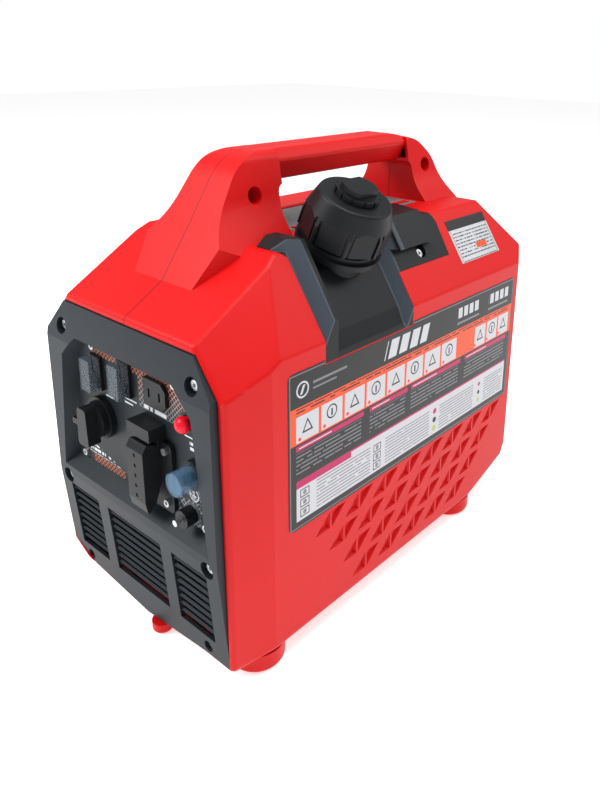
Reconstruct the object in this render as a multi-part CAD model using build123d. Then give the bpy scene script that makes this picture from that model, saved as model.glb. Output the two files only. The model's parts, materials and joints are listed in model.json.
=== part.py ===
from build123d import *
from math import cos, hypot, pi, radians, sin
import os

# Portable inverter generator in a two-half plastic casing, in millimetres.
# Seen from the control panel, X is to the right, Y to the rear and Z up.
# The feet stand on Z = 0 and the casing's length is centred on Y = 0.

# overall casing
half_width = 118.0       # casing side to the middle seam
front_y = -199.0         # front rim of the casing
rear_y = 207.0           # flat rear of the casing
base_z = 17.0            # underside, above the feet
deck_z = 322.0           # flat top under the handle
wall = 2.6               # casing wall
casing_round = 5.0       # rounding of the casing's outer edges

# where the casing's flats change direction
side_top_z = 260.0       # the sides lean in above this
deck_half = 78.0         # half width of the deck
nose_z = 274.0           # the front face ends here
deck_front_y = -119.0    # front slope meets the deck
deck_rear_y = 163.0      # rear slope meets the deck
rear_top_z = 271.0       # the rear face ends here
heel_z = 88.0            # the rear face starts to turn under
heel_mid = (184.0, 38.0)
heel_y = 118.0           # the flat underside ends here
cheek_back = 38.0        # length of the angled front corners
cheek_in = 7.0           # how far they come in
tail_back = 20.0
tail_in = 12.0
skirt_cut = (30.0, 16.0) # chamfer along the lower left edge

# handle
handle_top = 388.0
handle_bar = 27.0        # height of the bar
handle_half = 22.0
bar_foot_half = 13.0     # half width of the bar's underside
grip_front_y = -64.0     # finger opening, front end
grip_rear_y = 118.0
handle_wall = 3.0
handle_hole = (-91.0, 141.0)   # screw holes along the handle
handle_hole_z = 355.0
handle_hole_r = 7.2

# control side
panel_t = 3.0
panel_gap = 0.6          # between the panel and the casing rim
rim_y = -206.0           # foremost ridge of the panel
plate_y = -194.4         # face of the control plate
plate_t = 2.5
recess_half = (97.0, 84.0)     # half width of the recess, bottom and top
shelf_z = 117.0
panel_side = [(0, 2.5), (17, 1.5), (110, -7.0), (236, -7.0), (272, -1.0),
              (300, -1.0)]  # height, depth to the rim
recess_top_z = 243.0
louvre_pitch = 7.4
louvre_rows = 8
louvre_z = 40.0          # lowest louvre
louvre_bays = ((-92.0, -50.0), (-36.0, 36.0), (50.0, 92.0))
screw_r = 2.0            # M4 screws all over
screw_head_r = 3.9
boss_r = 7.0             # recesses round the panel screws

# controls, as X and Z on the plate, the first ones with width and height
switch_places = ((-49.5, 215.0, 15.0, 29.0), (-9.5, 221.5, 15.0, 29.0))
outlet_place = (31.0, 221.5, 27.0, 22.0)
slot_spacing = 12.7      # between the outlet's two blades
knob_place = (-46.0, 176.0)
reset_place = (69.5, 213.0)
breaker_place = (73.0, 172.0)
ground_place = (68.0, 137.0)
plate_screw_places = [(-54.0, 236.0), (53.0, 236.0), (-79.0, 130.5), (82.5, 130.5)]

# engine line
crank_x, crank_z = -16.0, 118.0
reel_r = 40.0            # the rope leaves the reel at this radius
rope_r = 2.2
rope_z = 172.0
stroke = 38.0
bore_r = 24.0
reel_y = -152.0
crankcase_y = (-66.0, 30.0)
running_gap = 0.05       # radial clearance of shafts

# fuel
cap_tilt = 24.0          # the filler leans outward by this many degrees
filler = (71.5, -42.0, 313.0)
cap_r = 37.6
cap_low = 12.0           # the cap's lower edge above the filler point
neck_r = 26.0

trim_x = 46.0            # inner edge of the filler surround
rim_rise = 8.0           # how far it stands proud
trim_screw = (44.0, 47.5)      # Y, and the distance up the slope from its lower edge
slot_size = (22.0, 12.0)       # recess round that screw
slot_deep = 5.0

# hollows pressed into the right side
dimple_rows = ((-98.5, 8), (-82.0, 7), (-64.5, 6), (-52.0, 5))   # first rib and count
dimple_top = 112.0
dimple_size = (17.0, 15.5)
dimple_pitch = (35.6, 21.7)    # along the row, and from row to row
dimple_rib = 1.1               # half width of the upright rib
dimple_deep = 3.0
dimple_slope = 1.4             # how far the walls lean in

# other fastenings
inlay_y = (grip_front_y + 6, grip_rear_y - 6)
cover_screw_places = ((-84.0, 206.0), (40.0, 92.0))
rear_screw_places = ((-84.0, 112.0), (84.0, 112.0), (-84.0, 230.0), (84.0, 230.0))

foot_r = 23.0
slack = 0.3              # gap between a moving piece and its seat

tilt_axis = (sin(radians(cap_tilt)), 0, cos(radians(cap_tilt)))
rope_x = crank_x + reel_r
guide_screw_places = [(rope_x + 18, 180.0), (rope_x + 18, 136.0), (rope_x - 18, 136.0)]
slope_out = (deck_z - side_top_z, 0, half_width - deck_half)
FRONT, BACK, UP, DOWN, RIGHT, LEFT = (0, -1, 0), (0, 1, 0), (0, 0, 1), (0, 0, -1), (1, 0, 0), (-1, 0, 0)


def prism_x(points, x0, x1):
    return extrude(Plane.YZ.offset(x0) * make_face(Polyline(*points, close=True)), x1 - x0)


def prism_y(points, y0, y1):
    face = Plane((0, y1, 0), x_dir=(1, 0, 0), z_dir=(0, -1, 0)) * make_face(Polyline(*points, close=True))
    return extrude(face, y1 - y0)


def prism_z(points, z0, z1):
    return extrude(Plane.XY.offset(z0) * make_face(Polyline(*points, close=True)), z1 - z0)


def block(x0, x1, y0, y1, z0, z1):
    return Pos((x0 + x1) / 2, (y0 + y1) / 2, (z0 + z1) / 2) * Box(x1 - x0, y1 - y0, z1 - z0)


def rod(start, axis, radius, length):
    return Plane(start, z_dir=axis) * Cylinder(radius, length,
                                               align=(Align.CENTER, Align.CENTER, Align.MIN))


def cone(start, axis, r0, r1, length):
    return Plane(start, z_dir=axis) * Cone(r0, r1, length, align=(Align.CENTER, Align.CENTER, Align.MIN))


def tube(start, axis, radius, hole, length):
    return rod(start, axis, radius, length) - rod(start, axis, hole, length)


def along(start, axis, distance):
    return tuple(s + a * distance for s, a in zip(start, axis))


def screw(head, axis, length, radius=screw_r, head_r=screw_head_r):
    """A pan-head screw: its head sits on the point and its shank runs along the axis."""
    back = tuple(-a for a in axis)
    solid = rod(head, axis, radius, length) + rod(head, back, head_r, 2.4)
    slot = Plane(along(head, back, 2.4), z_dir=axis) * Cylinder(1.5, 1.4,
            align=(Align.CENTER, Align.CENTER, Align.MIN))
    return solid - slot


def casing_flats():
    """Each flat of the casing as a point on it and its outward direction."""
    nose = (0, -(deck_z - nose_z), deck_front_y - front_y)
    tail = (0, rear_top_z - deck_z, deck_rear_y - rear_y)
    heel_a = (0, heel_z - heel_mid[1], -(rear_y - heel_mid[0]))
    heel_b = (0, heel_mid[1] - base_z, -(heel_mid[0] - heel_y))
    flats = [
        ((0, front_y, 0), FRONT), ((0, rear_y, 0), BACK), ((0, 0, deck_z), UP), ((0, 0, base_z), DOWN),
        ((0, front_y, nose_z), nose), ((0, rear_y, rear_top_z), tuple(-t for t in tail)),
        ((0, rear_y, heel_z), heel_a), ((0, heel_y, base_z), heel_b),
        ((-half_width + skirt_cut[0], 0, base_z), (-skirt_cut[1], 0, -skirt_cut[0])),
    ]
    for side in (-1, 1):
        flats += [
            ((side * half_width, 0, 0), (side, 0, 0)),
            ((side * half_width, 0, side_top_z),
             (side * (deck_z - side_top_z), 0, half_width - deck_half)),
            ((side * half_width, front_y + cheek_back, 0), (side * cheek_back, -cheek_in, 0)),
            ((side * half_width, rear_y - tail_back, 0), (side * tail_back, tail_in, 0)),
            ((side * (half_width - 12), front_y, 246), (side * 0.62, -0.33, 0.55)),
        ]
    return flats


def casing(inset):
    """The casing without its handle, each flat moved in by the inset."""
    solid = block(-200, 200, -260, 260, 0, 400)
    for point, out in casing_flats():
        size = hypot(*out)
        place = tuple(p - inset * o / size for p, o in zip(point, out))
        solid = split(solid, bisect_by=Plane(place, z_dir=out), keep=Keep.BOTTOM)
    return solid


def side_view(points, low, inset, radius):
    """A face in the YZ plane, moved in and then rounded above the given height."""
    face = make_face(Polyline(*points, close=True))
    if inset:
        face = offset(face, amount=-inset, kind=Kind.INTERSECTION)
    corners = [v for v in face.vertices() if v.Y > low]
    return fillet(corners, radius)


def arch(inset):
    """Side view of the handle and its opening."""
    under = handle_top - handle_bar
    outside = [(-170, 286), (-133, 338), (-104, handle_top - 6), (-80, handle_top), (100, handle_top),
               (132, handle_top - 8), (154, handle_top - 26), (180, 300), (180, 286)]
    inside = [(grip_rear_y, 270), (grip_rear_y, under), (grip_front_y, under), (grip_front_y - 9, 270)]
    return side_view(outside, 330, inset, 40 - inset) - side_view(inside, 330, -inset, 7 + inset)


def leg_view(inset):
    """Front view of the legs: upright feet that sweep in and up to the grip."""
    flank = [(62, 286), (62, 304), (30, 341), (handle_half, handle_top)]
    points = [(-x, z) for x, z in flank] + flank[::-1]
    face = make_face(Polyline(*points, close=True))
    if inset:
        face = offset(face, amount=-inset, kind=Kind.INTERSECTION)
    for low, high, radius in ((370, 400, 9 - inset), (320, 360, 50 + inset), (298, 315, 22 - inset)):
        face = fillet([v for v in face.vertices() if low < v.Y < high], radius)
    return face


def handle(inset):
    half, foot = handle_half, bar_foot_half
    side = extrude(Plane.YZ * arch(inset), 80, both=True)
    bar = [(-foot, handle_top - handle_bar), (-half, handle_top - 9), (-half + 6, handle_top),
           (half - 6, handle_top), (half, handle_top - 9), (foot, handle_top - handle_bar)]
    view = Plane((0, 300, 0), x_dir=(1, 0, 0), z_dir=(0, -1, 0))
    leg_solid = extrude(view * leg_view(inset), 600)
    plan = make_face(Polyline((-62, -100), (-34, -168), (34, -168), (62, -100), (62, 150), (40, 184),
                              (-40, 184), (-62, 150), close=True))
    plan = offset(plan, amount=-inset - 0.01, kind=Kind.INTERSECTION)
    plan = fillet([v for v in plan.vertices() if abs(v.Y) < 155], 14 - inset)
    leg_solid &= extrude(Plane.XY.offset(280) * plan, 120)
    bar_solid = extrude(view * side_view(bar, 200, inset, 4.5 - inset), 600)
    between = block(-90, 90, grip_front_y + 4, grip_rear_y - 4, 280, 400)
    return (side & leg_solid) - between + (side & bar_solid & between)


def panel_outline(gap):
    """Front view of the control panel, as points in X and Z."""
    g = gap
    low, side, top = half_width - 41 - g, half_width - 11 - g, half_width - 35 - g
    return [(-low, base_z + 1 + g), (0, base_z - 7 + g), (low, base_z + 1 + g), (side, base_z + 1 + g),
            (side - 2, 242), (top, 269 - g), (-top, 269 - g), (2 - side, 242), (-side, 34)]


def trim_region(gap):
    """Footprint of the filler surround, seen from the side and kept clear of the handle's front leg."""
    g = gap
    points = [(-106 + g, 243 + g), (-106 + g, 262), (-108 + g, 318), (-114 + g, 323), (-114 + g, 345),
              (79 - g, 345), (79 - g, 323),
              (83 - g, 314), (81 - g, 286 + g), (4 - g, 286 + g), (4 - g, 243 + g)]
    slab = prism_x(points, trim_x + g, 150)
    return slab - block(0, trim_x + 6 + g, -130, -58 + g, 200, 360)


def shell(side):
    """One half of the casing: side is -1 for the left and 1 for the right."""
    outer = fillet(casing(0).edges(), casing_round) + handle(0)
    half = outer - (casing(wall) + handle(handle_wall))
    half &= block(min(0, side * 150), max(0, side * 150), -250, 250, 0, 400)
    half -= prism_y(panel_outline(-panel_gap), front_y - 1, front_y + 12.6)
    for y in handle_hole:
        half += rod((0, y, handle_hole_z), (side, 0, 0), handle_hole_r + 3, 40) & outer
        half -= rod((0, y, handle_hole_z), (side, 0, 0), screw_r, 40)
        half -= rod((side * 9, y, handle_hole_z), (side, 0, 0), handle_hole_r, 40)
    for x, z in panel_screw_places():
        if x * side > 0:
            post = rod((x, boss_of(z)[1], z), BACK, 5, 16 if z < 200 else 12)
            rib = block(min(x, side * 115.6), max(x, side * 115.6), -186.5, -180, z - 2, z + 2)
            half += (post + rib) & casing(0)
            half -= rod((x, -210, z), BACK, screw_r, 40)
    half -= block(-80, 80, rear_y - 8, rear_y + 5, 100, 242)
    for x, z in rear_screw_places:
        half -= rod((x, rear_y - 6, z), BACK, screw_r, 10)
    half -= block(-40, 40, inlay_y[0], inlay_y[1], deck_z - 1.5, deck_z + 1)
    if side > 0:
        half -= trim_region(0)
        half -= rod(along(filler, tilt_axis, -70), tilt_axis, neck_r + slack, 120)
        half += [strip & casing(1) for strip in dimple_backs()]
        half -= dimples()
    else:
        half += cover_seat()
        half -= cover_space(0, -half_width - 5, -half_width + 3.8)
        half -= cover_space(7, -half_width - 5, -half_width + 9)
        half -= [rod((-half_width, y, z), RIGHT, screw_r, 14) for y, z in cover_screw_places]
    return half


def dimple(points, y, z):
    """A triangular hollow with leaning walls, given as offsets from the foot of its rib."""
    mouth = make_face(Polyline(*points, close=True))
    floor = offset(mouth, amount=-dimple_slope, kind=Kind.INTERSECTION)
    faces = []
    for face, x in ((mouth, half_width), (floor, half_width - dimple_deep)):
        faces.append(Plane((x, y, z), x_dir=(0, 1, 0), z_dir=RIGHT) * face)
    return loft(faces)


def dimples():
    """Rows of leaning hollows, each split into two triangles by an upright rib."""
    width, height = dimple_size
    rib = dimple_rib
    before = [(-rib - width, 0), (-rib, 0), (-rib, height)]
    after = [(rib, 0), (rib + width, height), (rib, height)]
    cuts = []
    for row, (first, count) in enumerate(dimple_rows):
        z = dimple_top - height - row * dimple_pitch[1]
        for i in range(count):
            y = first + i * dimple_pitch[0]
            cuts += [dimple(before, y, z), dimple(after, y, z)]
    return cuts


def dimple_backs():
    """Thicker strips of wall behind the rows of hollows."""
    width, height = dimple_size
    strips = []
    for row, (first, count) in enumerate(dimple_rows):
        top = dimple_top - row * dimple_pitch[1]
        last = first + (count - 1) * dimple_pitch[0]
        strips.append(block(half_width - dimple_deep - 2, half_width - wall + 0.5, first - width - 5,
                            last + width + 5, top - height - 3, top + 3))
    return strips


def cover_space(inset, x0, x1):
    solid = block(x0, x1, -92 + inset, 48 - inset, 84 + inset, 214 - inset)
    return fillet(solid.edges().filter_by(Axis.X), 6)


def cover_seat():
    """Lip behind the service opening, thicker where the two screws bite."""
    ring = block(-half_width + 2, -half_width + 6, -97, 53, 79, 219)
    return ring + [rod((-half_width + 3.8, y, z), RIGHT, 5, 10) for y, z in cover_screw_places]


def service_cover():
    plate = cover_space(slack, -half_width + 1.4, -half_width + 3.8)
    ribs = [block(-half_width - slack, -half_width + 1.5, -70 + i * 14, -64 + i * 14, 104,
                  194) for i in range(8)]
    plate -= [rod((-half_width, y, z), RIGHT, screw_r, 9) for y, z in cover_screw_places]
    return plate + ribs - [rod((-half_width, y, z), RIGHT, screw_head_r + 0.2, 2.1) for y,
                           z in cover_screw_places]


def front_panel():
    depth = 12.0
    view = [(front_y + dy, z) for z, dy in panel_side]
    outline = prism_y(panel_outline(0), rim_y - 5, front_y + depth)
    solid = prism_x(view + [(front_y + depth, 300), (front_y + depth, 0)], -130, 130) & outline
    hollow = [(y + panel_t, z) for y, z in view] + [(front_y + 40, 300), (front_y + 40, 0)]
    solid -= prism_x(hollow, -130, 130) & prism_y(panel_outline(panel_t), rim_y - 5, front_y + depth + 1)
    solid += recess(panel_t) - recess(0)
    solid -= recess(0)
    top = louvre_z + louvre_rows * louvre_pitch
    solid -= [block(x0, x1, rim_y - 5, front_y + 9, louvre_z - 4, top) for x0, x1 in louvre_bays]
    for x0, x1 in louvre_bays:
        for row in range(louvre_rows):
            z = louvre_z + row * louvre_pitch
            y = panel_face_y(z) + 0.8
            solid += prism_x([(y, z + 2.4), (y + 1.6, z + 4.2), (y + 9, z - 0.8), (y + 9, z - 3)],
                             x0 - 0.5, x1 + 0.5)
    for x, z in panel_screw_places():
        y = panel_face_y(z)
        hole, back = boss_of(z)
        solid += rod((x, y + 1.6, z), BACK, hole + 1.6, back - y - 1.6) & prism_y(panel_outline(0),
                -300, 0)
        solid -= rod((x, rim_y - 4, z), BACK, hole, y + 5.6 - rim_y + 4)
        solid -= rod((x, rim_y, z), BACK, screw_r, 40)
    return solid


def recess(grow):
    """The tapered hollow for the controls, from the panel's ridge to the plate."""
    b, t = recess_half
    mouth = [(-b, shelf_z), (b, shelf_z), (t, 224), (64, recess_top_z), (-64, recess_top_z), (-t, 224)]
    back = [(-b + 6, shelf_z + 9), (b - 6, shelf_z + 9), (t - 6, 222), (60, recess_top_z - 3),
            (-60, recess_top_z - 3),
            (-t + 6, 222)]
    rings = []
    for points, y in ((mouth, rim_y + 3 if grow else rim_y), (back, plate_y)):
        face = make_face(Polyline(*points, close=True))
        face = offset(face, amount=grow, kind=Kind.INTERSECTION) if grow else face
        rings.append(Plane((0, y, 0), x_dir=(1, 0, 0), z_dir=(0, -1, 0)) * face)
    return loft(rings) if grow else loft(rings) + extrude(rings[0], 4)


def panel_screw_places():
    return [(-84, 248), (84, 248), (-94, 106), (94, 106), (-82, 26), (82, 26)]


def boss_of(z):
    """Radius and back of the screw boss at a height: the lowest two are slimmer."""
    return (boss_r, panel_face_y(z) + 8.6) if z > 60 else (4.8, front_y + 12.5)


def panel_face_y(z):
    """Front surface of the panel at a height."""
    for (z0, d0), (z1, d1) in zip(panel_side, panel_side[1:]):
        if z <= z1:
            return front_y + d0 + (d1 - d0) * (z - z0) / (z1 - z0)


def control_plate():
    b, t = recess_half
    points = [(-b + 4, shelf_z + 6), (b - 4, shelf_z + 6), (t - 4, 224), (61, recess_top_z),
              (-61, recess_top_z), (-t + 4, 224)]
    plate = prism_y(points, plate_y, plate_y + plate_t)
    for x, z, w, h in switch_places:
        plate -= block(x - w / 2 + 1.5, x + w / 2 - 1.5, plate_y - 1, plate_y + 5, z - h / 2 + 1.5,
                       z + h / 2 - 1.5)
    x, z, w, h = outlet_place
    plate -= block(x - w / 2 + 2, x + w / 2 - 2, plate_y - 1, plate_y + 5, z - h / 2 + 2, z + h / 2 - 2)
    for (x, z), r in ((knob_place, 6.0), (reset_place, 6.0), (breaker_place, 8.0), (ground_place, 2.5)):
        plate -= rod((x, plate_y - 1, z), BACK, r, 6)
    plate -= rod((rope_x, plate_y - 1, rope_z), BACK, 5, 6)
    for x, z in plate_screw_places + guide_screw_places:
        plate -= rod((x, plate_y - 1, z), BACK, 1.5, 6)
    return plate


def switch_frame(place):
    x, z, w, h = place
    front, back = plate_y - 3.0, plate_y + 16
    solid = block(x - w / 2, x + w / 2, front, plate_y, z - h / 2, z + h / 2)
    solid += block(x - w / 2 + 1.8, x + w / 2 - 1.8, plate_y, back, z - h / 2 + 1.8, z + h / 2 - 1.8)
    solid -= block(x - w / 2 + 2.6, x + w / 2 - 2.6, front - 1, plate_y + 10, z - h / 2 + 3, z + h / 2 - 3)
    return solid


def rocker(place):
    """A rocker with its pivot on the frame's centre line, tipped to its upper side."""
    x, z, w, h = place
    half = w / 2 - 2.6 - slack
    y = plate_y + 2.5
    tall = h / 2 - 3 - 1.2
    body = prism_x([(y, z - tall + 2), (y - 6.4, z - tall), (y - 4.6, z), (y - 6.4, z + tall),
                    (y, z + tall - 2), (y + 5, z)], x - half, x + half)
    return Pos(x, y, z) * (Rot(-9, 0, 0) * (Pos(-x, -y, -z) * body))


def switch_cover(place):
    x, z, w, h = place
    front = plate_y - 12.5
    outer = block(x - w / 2 + 0.6, x + w / 2 - 0.6, front, plate_y - 3, z - h / 2 + 0.6, z + h / 2 - 0.6)
    outer = fillet(outer.edges().filter_by(Axis.Y), 1.5)
    return outer - block(x - w / 2 + 1.5, x + w / 2 - 1.5, front + 0.9, plate_y, z - h / 2 + 1.5,
                         z + h / 2 - 1.5)


def outlet_socket():
    x, z, w, h = outlet_place
    flange = [(x - w / 2, z - h / 2), (x + w / 2 - 5, z - h / 2), (x + w / 2, z - h / 2 + 5),
              (x + w / 2, z + h / 2 - 5),
              (x + w / 2 - 5, z + h / 2), (x - w / 2, z + h / 2)]
    solid = prism_y(flange, plate_y - 3.5, plate_y)
    solid += block(x - w / 2 + 2.3, x + w / 2 - 2.3, plate_y, plate_y + 20, z - h / 2 + 2.3,
                   z + h / 2 - 2.3)
    for dx in (-slot_spacing / 2, slot_spacing / 2):
        solid -= block(x + dx - 1.1, x + dx + 1.1, plate_y - 4, plate_y + 14, z - 3.6, z + 3.6)
    return solid


def engine_switch_base():
    x, z = knob_place
    solid = rod((x, plate_y - 5, z), BACK, 18, 5) + rod((x, plate_y, z), BACK, 5.7, 14)
    return solid - rod((x, plate_y - 6, z), BACK, 3.0 + running_gap, 26)


def engine_switch_knob():
    x, z = knob_place
    front = plate_y - 5 - slack
    solid = rod((x, front - 5, z), BACK, 15, 5) + rod((x, front, z), BACK, 3.0, 20)
    bar = [(x - 6, z + 14), (x + 6, z + 14), (x + 7.5, z - 19), (x - 7.5, z - 19)]
    grip = fillet(prism_y(bar, front - 15.3, front - 4).edges().filter_by(Axis.Y), 3)
    return solid + grip + block(x - 20, x - 3, front - 12, front - 4, z - 6, z - 1)


def recoil_guide():
    """Plate with the rope's eye and the hooked bracket that the grip parks in."""
    x = rope_x
    solid = block(x - 25, x + 25, plate_y - 4, plate_y, 128, 186)
    solid = fillet(solid.edges().filter_by(Axis.Y), 4)
    solid += block(x - 14, x + 14, plate_y - 15, plate_y, 189, 199)
    solid += block(x - 14, x + 14, plate_y - 7, plate_y, 184, 190)
    solid -= rod((x, plate_y - 20, rope_z), BACK, rope_r + 1.2, 30)
    for sx, sz in guide_screw_places:
        solid -= rod((sx, plate_y - 5, sz), BACK, screw_r, 8)
    return solid


def recoil_grip():
    x, back = rope_x, plate_y - 4 - slack
    side = [(back, 182), (back - 11, 186), (back - 15, 180), (back - 15, 138), (back - 13, 128),
            (back - 6, 133), (back, 150)]
    solid = prism_x(side, x - 10.5, x + 10.5)
    solid = fillet(solid.edges().filter_by(Axis.X), 1.6)
    solid -= rod((x, back + 1, rope_z), FRONT, rope_r, 9)
    solid -= [rod((x, back - 16, 176 - i * 8.5), BACK, 1.6, 1.6) for i in range(5)]
    return solid


def starter_rope():
    """The rope as it lies parked: from the grip through the eye, then down to the reel."""
    x, back = rope_x, plate_y - 4 - slack
    line = FilletPolyline((x, back - 8, rope_z), (x, reel_y + 4, rope_z), (x, reel_y + 4, crank_z),
                          radius=16)
    face = Plane((x, back - 8, rope_z), z_dir=BACK) * Circle(rope_r - 0.2)
    return sweep(face, line)


def recoil_reel():
    y, core = reel_y - 3, reel_r - rope_r - 0.2
    solid = rod((crank_x, y, crank_z), BACK, core, 14)
    solid += [rod((crank_x, y + dy, crank_z), BACK, reel_r + 5, 1.8) for dy in (0, 12.2)]
    solid -= tube((crank_x, y - 1, crank_z), BACK, 30, 12, 9)
    return solid - rod((crank_x, y - 1, crank_z), BACK, 6 + running_gap, 20)


def recoil_spring():
    coil = [tube((crank_x, reel_y - 2.5, crank_z), BACK, 14 + i * 3, 13 + i * 3, 6) for i in range(5)]
    link = block(crank_x - 0.5, crank_x + 0.5, reel_y - 2.5, reel_y + 3.5, crank_z + 13.5, crank_z + 25.5)
    return coil[0] + coil[1:] + link


def recoil_housing():
    front = reel_y - 9
    solid = rod((crank_x, front, crank_z), BACK, 50, 3) + rod((crank_x, front, crank_z), BACK, 6, 21)
    solid += tube((crank_x, front, crank_z), BACK, 50, 47.5, 20)
    solid -= block(rope_x - 5, rope_x + 30, front + 4, front + 21, crank_z - 10, crank_z + 60)
    return solid - [rod((crank_x + 33 * cos(i * pi / 3), front - 1, crank_z + 33 * sin(i * pi / 3)),
                        BACK, 9, 6) for i in range(6)]


def fan_shroud():
    """Drum round the fan and flywheel: it carries the starter housing and bolts to the crankcase."""
    front, back = reel_y + 7, crankcase_y[0]
    solid = tube((crank_x, front, crank_z), BACK, 70, 67.5, back - front)
    solid += tube((crank_x, front, crank_z), BACK, 70, 50, 3) + tube((crank_x, back - 3, crank_z),
            BACK, 70, 57, 3)
    return solid - block(crank_x - 15.5, crank_x + 15.5, -100.5, back + 1, crank_z + 50, crank_z + 80)


def starter_cup():
    y = reel_y + 14
    solid = rod((crank_x, y, crank_z), BACK, 26, 12) - rod((crank_x, y - 1, crank_z), BACK, 23.5, 9)
    return solid - rod((crank_x, y, crank_z), BACK, 8, 20)


def cooling_fan():
    y = reel_y + 26
    hub = rod((crank_x, y, crank_z), BACK, 62, 3)
    for i in range(12):
        blade = Rot(0, i * 30, 0) * Pos(44, 0, 0) * Rot(0, 25, 0) * Box(30, 14, 2)
        hub += Pos(crank_x, y + 10, crank_z) * blade
    return hub - rod((crank_x, y - 1, crank_z), BACK, 8, 30)


def flywheel_rotor():
    y = reel_y + 43.5
    solid = rod((crank_x, y, crank_z), BACK, 54, 34) - rod((crank_x, y + 5, crank_z), BACK, 48, 40)
    return solid + rod((crank_x, y, crank_z), BACK, 14, 12) - rod((crank_x, y - 1, crank_z), BACK, 8, 60)


def stator():
    y = reel_y + 58
    core = tube((crank_x, y, crank_z), BACK, 30, 17, 20)
    for i in range(12):
        pole = Rot(0, i * 30, 0) * Pos(37, 0, 0) * Box(16, 18, 9)
        core += Pos(crank_x, y + 10, crank_z) * pole
    return core


def crankcase():
    y0, y1 = crankcase_y
    x, z = crank_x, crank_z
    solid = block(x - 46, x + 46, y0, y1, 56, z + 44)
    solid = fillet(solid.edges().filter_by(Axis.Y), 8)
    solid -= block(x - 38, x + 38, y0 + 8, y1 - 8, 64, z + 36)
    solid += rod((x, y0 - 26, z), BACK, 17, 27)
    solid -= rod((x, y0 - 27, z), BACK, 8 + running_gap, 200)
    solid -= rod((x, (y0 + y1) / 2, z), UP, bore_r + 2, 60)
    solid += [block(x - 62, x + 62, y, y + 16, 48, 58) for y in (y0 + 4, y1 - 20)]
    return solid


def crankshaft():
    middle = sum(crankcase_y) / 2
    x, z = crank_x, crank_z
    solid = rod((x, reel_y + 17, z), BACK, 8, middle - 9 - reel_y - 17)
    solid += rod((x, middle + 9, z), BACK, 8, crankcase_y[1] + 6 - middle - 9)
    solid += [rod((x, y, z), BACK, 27, 8) for y in (middle - 17, middle + 9)]
    return solid + rod((x, middle - 9, z + stroke / 2), BACK, 8, 18)


def cylinder():
    """Finned cylinder and head in one casting, with a blind bore."""
    x, y, z = crank_x, sum(crankcase_y) / 2, crank_z + 44
    solid = rod((x, y, z), UP, bore_r + 6, 60)
    solid += [block(x - 36, x + 36, y - 34, y + 34, z + 3 + i * 7, z + 5.2 + i * 7) for i in range(8)]
    solid += block(x - 34, x + 34, y - 32, y + 32, z + 56, z + 67)
    solid += [block(x - 34 + i * 8, x - 31.5 + i * 8, y - 30, y + 30, z + 67, z + 75) for i in range(9)]
    solid -= rod((x, y + 24, z + 61.5), BACK, 4.5, 20)
    return solid - rod((x, y, z - 1), UP, bore_r + running_gap, 55)


def piston():
    x, y, top = crank_x, sum(crankcase_y) / 2, crank_z + 96.5
    solid = rod((x, y, top - 30), UP, bore_r, 30) - rod((x, y, top - 31), UP, bore_r - 4, 25)
    for i in range(3):
        solid -= tube((x, y, top - 6 - i * 4), UP, bore_r + 1, bore_r - 1.5, 1.2)
    return solid


def carburettor():
    x0, y, z = crank_x - 36, sum(crankcase_y) / 2, crank_z + 78
    solid = rod((x0, y, z), LEFT, 13, 26) + block(x0 - 24, x0 - 4, y - 14, y + 14, z - 26, z - 8)
    return solid - rod((x0 + 1, y, z), LEFT, 7, 30)


def air_filter_box():
    x1, y, z = crank_x - 62, sum(crankcase_y) / 2, crank_z + 78
    solid = fillet(block(x1 - 30, x1, y - 40, y + 40, z - 34, z + 30).edges(), 4)
    return solid - block(x1 - 27, x1 - 3, y - 37, y + 37, z - 31, z + 27) - rod((x1 - 10, y, z), RIGHT,
            8, 20)


def muffler():
    solid = fillet(block(-48, 52, 70, 178, 110, 198).edges(), 10) - block(-45, 49, 73, 175, 120, 188)
    solid += block(-46, 50, 120, 122, 118, 190)
    solid += rod((20, 177, 150), BACK, 12, rear_y - 177 - 3)
    return solid - rod((20, 170, 150), BACK, 9, 60)


def exhaust_manifold():
    start = (crank_x + 36, sum(crankcase_y) / 2, crank_z + 82)
    line = FilletPolyline(start, (42, start[1], start[2]), (28, 44, 176), (28, 70, 176), radius=10)
    return sweep(Plane(start, z_dir=RIGHT) * Circle(8), line)


def exhaust_outlet():
    solid = tube((20, rear_y - 5.5, 150), BACK, 22, 12.2, 13.5)
    solid += tube((20, rear_y - 0.6, 150), BACK, 30, 21, 3)
    return solid + [block(20 - 12.5, 20 + 12.5, rear_y + 6, rear_y + 8, z - 1, z + 1) for z in (143,
            150, 157)]


def rear_panel():
    inner = rear_y - wall
    plate = block(-92, 92, inner - 3, inner, 93, 249) + block(-80 + slack, 80 - slack, inner,
            rear_y - 0.6, 100.3, 241.7)
    for i in range(10):
        plate -= block(-66, -28, inner - 4, rear_y, 112 + i * 12, 117 + i * 12)
        plate -= block(56, 72, inner - 4, rear_y, 112 + i * 12, 117 + i * 12)
    plate -= rod((20, rear_y - 9, 150), BACK, 22, 20)
    return plate - [rod((x, rear_y - 9, z), BACK, screw_r, 10) for x, z in rear_screw_places]


def top_inlay():
    y0, y1 = inlay_y
    plate = block(-39.7, 39.7, y0 + slack, y1 - slack, deck_z - 1.5, deck_z + 0.3)
    ribs = [block(x - 1.2, x + 1.2, y0 + 6, y1 - 6, deck_z + 0.3, deck_z + 1.4) for x in (-34, -30, 30,
            34)]
    return plate + ribs


def feet():
    solids = []
    for x in (-94, 94):
        for y in (-160, 113):
            foot = fillet(rod((x, y, 0), UP, foot_r, base_z + 17).edges().sort_by(Axis.Z)[0], 5)
            solids.append(foot - casing(0))
    nub = fillet(rod((15, -193, 0), UP, 9, 9).edges().sort_by(Axis.Z)[0], 3)
    return solids + [nub + block(8, 22, -190, -172, 3, 9) + block(8, 22, -185, -172, 3, base_z)]


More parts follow.
